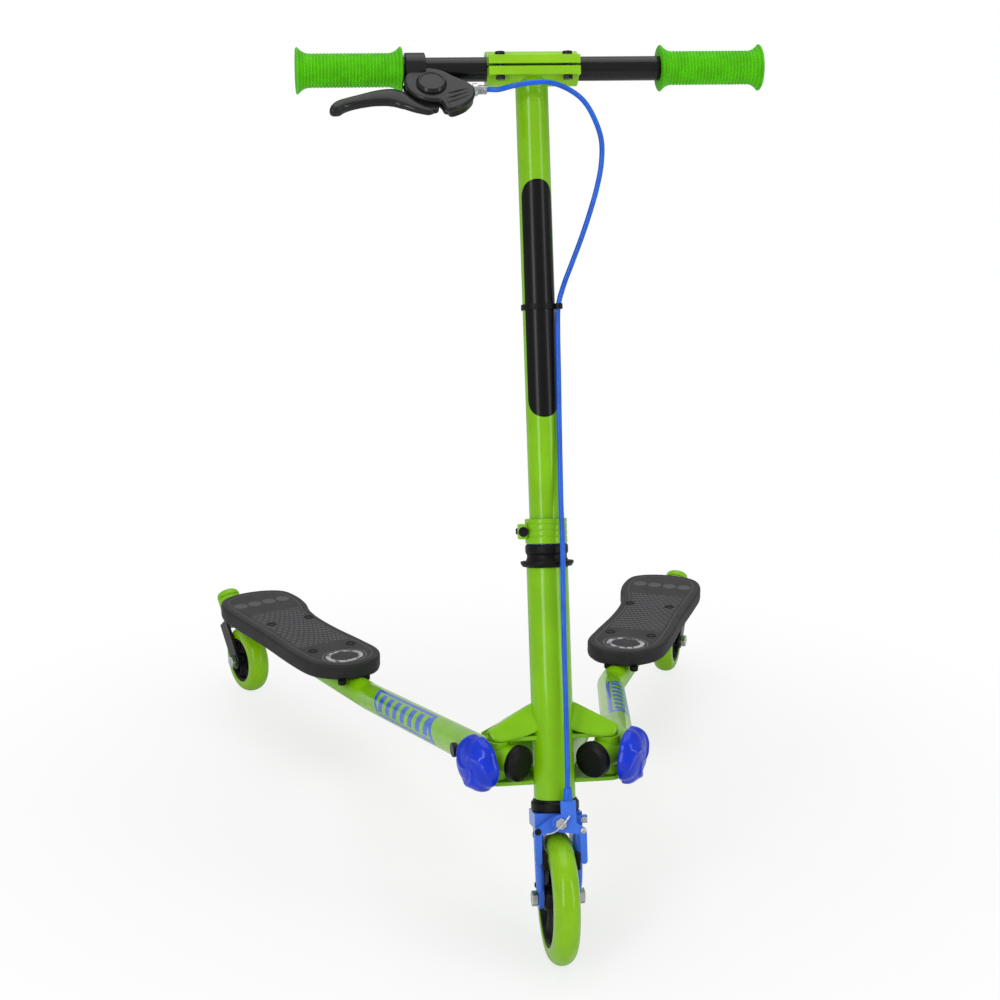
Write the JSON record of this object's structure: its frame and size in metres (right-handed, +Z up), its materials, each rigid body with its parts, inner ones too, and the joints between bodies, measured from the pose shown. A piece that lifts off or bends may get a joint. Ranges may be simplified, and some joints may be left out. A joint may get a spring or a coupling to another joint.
{
  "type": "three wheel kids scooter",
  "caption": "Kids' three wheel scooter with a hand-braked front wheel, a height-adjustable T-bar and two swinging arms that each carry a foot deck on a swivelling caster.",
  "frame": {"origin": "centre of the footprint of the overall box, on the floor", "axes": "+X to the rider's left, +Y backwards from the front wheel to the decks, +Z up"},
  "size_m": [0.5986, 0.844, 0.8187],
  "materials": {
    "lime_paint": "glossy lime green powder coat",
    "lime_plastic": "moulded lime green nylon, satin",
    "blue_paint": "glossy blue paint",
    "blue_plastic": "satin blue plastic",
    "grip_rubber": "soft saturated green rubber with fine ribs",
    "lime_tyre": "cast lime green polyurethane, smooth",
    "black_plastic": "dark grey moulded plastic, fine grain",
    "black_paint": "semi-gloss black paint",
    "black_steel": "blackened steel fasteners",
    "pad_rubber": "hard black brake rubber",
    "bright_steel": "zinc plated steel"
  },
  "bodies": {
    "frame": {"head_tube": "lime_paint", "headset_lower": "black_plastic", "headset_upper": "black_plastic", "yoke_upper": "lime_paint", "yoke_lower": "lime_paint", "pivot_bolt_left": "black_steel", "pivot_bolt_right": "black_steel"},
    "steering": {"fork": "blue_paint", "height_collar": "lime_paint", "collar_screw": "black_steel", "front_axle": "bright_steel", "caliper_bolt": "bright_steel", "caliper_spring": "bright_steel"},
    "t_bar": {"stem_tube": "lime_paint", "bar_clamp": "lime_paint", "clamp_bolt_left": "black_steel", "clamp_bolt_right": "black_steel", "handlebar": "black_paint", "grip_left": "grip_rubber", "grip_right": "grip_rubber", "brake_bracket": "black_paint", "lever_pin": "bright_steel", "barrel_adjuster": "bright_steel", "brake_cable": "blue_plastic", "cable_tie": "black_plastic"},
    "brake_lever": {"brake_lever": "black_paint"},
    "caliper_stop_arm": {"caliper_stop_arm": "blue_paint", "brake_pad_right": "pad_rubber", "cable_boot": "blue_plastic"},
    "caliper_anchor_arm": {"caliper_anchor_arm": "blue_paint", "brake_pad_left": "pad_rubber", "anchor_screw": "bright_steel"},
    "front_wheel": {"front_tyre": "lime_tyre", "front_hub": "black_plastic"},
    "arm_left": {"arm_left": "lime_paint", "arm_cap_left": "black_plastic", "arm_screw_left": "black_steel", "deck_left": "black_plastic", "caster_cap_left": "lime_paint"},
    "knob_left": {"knob_left": "blue_plastic", "knob_pin_left": "bright_steel"},
    "caster_left": {"caster_fork_left": "lime_plastic", "caster_axle_left": "bright_steel"},
    "caster_wheel_left": {"caster_tyre_left": "lime_tyre", "caster_hub_left": "black_plastic"},
    "arm_right": {"arm_right": "lime_paint", "arm_cap_right": "black_plastic", "arm_screw_right": "black_steel", "deck_right": "black_plastic", "caster_cap_right": "lime_paint"},
    "knob_right": {"knob_right": "blue_plastic", "knob_pin_right": "bright_steel"},
    "caster_right": {"caster_fork_right": "lime_plastic", "caster_axle_right": "bright_steel"},
    "caster_wheel_right": {"caster_tyre_right": "lime_tyre", "caster_hub_right": "black_plastic"}
  },
  "joints": [
    {"name": "steering_turn", "type": "hinge", "parent": "frame", "child": "steering", "pos_m": [0, -0.35958, 0.0625], "axis": [0, 0.2652, 0.9642], "range_deg": [-40, 40]},
    {"name": "bar_height", "type": "slide", "parent": "steering", "child": "t_bar", "axis": [0, 0.2652, 0.9642], "range_m": [-0.1, 0], "deforming": ["brake_cable"]},
    {"name": "brake_lever_pull", "type": "hinge", "parent": "t_bar", "child": "brake_lever", "pos_m": [-0.095, -0.18128, 0.78058], "axis": [0, 0.5739, -0.8189], "range_deg": [0, 14], "stiffness_Nm_per_rad": 0.8, "springref_deg": -5.73},
    {"name": "caliper_stop_arm_turn", "type": "hinge", "parent": "steering", "child": "caliper_stop_arm", "pos_m": [0, -0.34022, 0.13289], "axis": [0, 0.9642, -0.2652], "range_deg": [0, 1.5]},
    {"name": "caliper_anchor_arm_turn", "type": "hinge", "parent": "steering", "child": "caliper_anchor_arm", "pos_m": [0, -0.34022, 0.13289], "axis": [0, -0.9642, 0.2652], "range_deg": [0, 1.5]},
    {"name": "front_wheel_spin", "type": "hinge", "parent": "steering", "child": "front_wheel", "pos_m": [0, -0.35958, 0.0625], "axis": [1, 0, 0], "continuous": true},
    {"name": "arm_left_fold", "type": "hinge", "parent": "frame", "child": "arm_left", "pos_m": [-0.0515, -0.31958, 0.188], "axis": [0, 0, -1], "range_deg": [0, 6]},
    {"name": "knob_left_pull", "type": "slide", "parent": "arm_left", "child": "knob_left", "axis": [-0.8569, -0.5154, 0], "range_m": [0, 0.008], "stiffness_N_per_m": 400, "springref_m": -0.005},
    {"name": "caster_left_swivel", "type": "hinge", "parent": "arm_left", "child": "caster_left", "pos_m": [-0.26472, 0.36238, 0.04], "axis": [-0.2504, 0.5624, 0.788], "continuous": true},
    {"name": "caster_wheel_left_spin", "type": "hinge", "parent": "caster_left", "child": "caster_wheel_left", "pos_m": [-0.26472, 0.36238, 0.04], "axis": [0.9135, 0.4067, 0], "continuous": true},
    {"name": "arm_right_fold", "type": "hinge", "parent": "frame", "child": "arm_right", "pos_m": [0.0515, -0.31958, 0.188], "axis": [0, 0, 1], "range_deg": [0, 6]},
    {"name": "knob_right_pull", "type": "slide", "parent": "arm_right", "child": "knob_right", "axis": [0.8569, -0.5154, 0], "range_m": [0, 0.008], "stiffness_N_per_m": 400, "springref_m": -0.005},
    {"name": "caster_right_swivel", "type": "hinge", "parent": "arm_right", "child": "caster_right", "pos_m": [0.26472, 0.36238, 0.04], "axis": [0.2504, 0.5624, 0.788], "continuous": true},
    {"name": "caster_wheel_right_spin", "type": "hinge", "parent": "caster_right", "child": "caster_wheel_right", "pos_m": [0.26472, 0.36238, 0.04], "axis": [0.9135, -0.4067, 0], "continuous": true}
  ],
  "couplings": [
    {"joint": "caliper_stop_arm_turn", "follows": "brake_lever_pull", "ratio": 0.10714},
    {"joint": "caliper_anchor_arm_turn", "follows": "brake_lever_pull", "ratio": 0.10714}
  ]
}
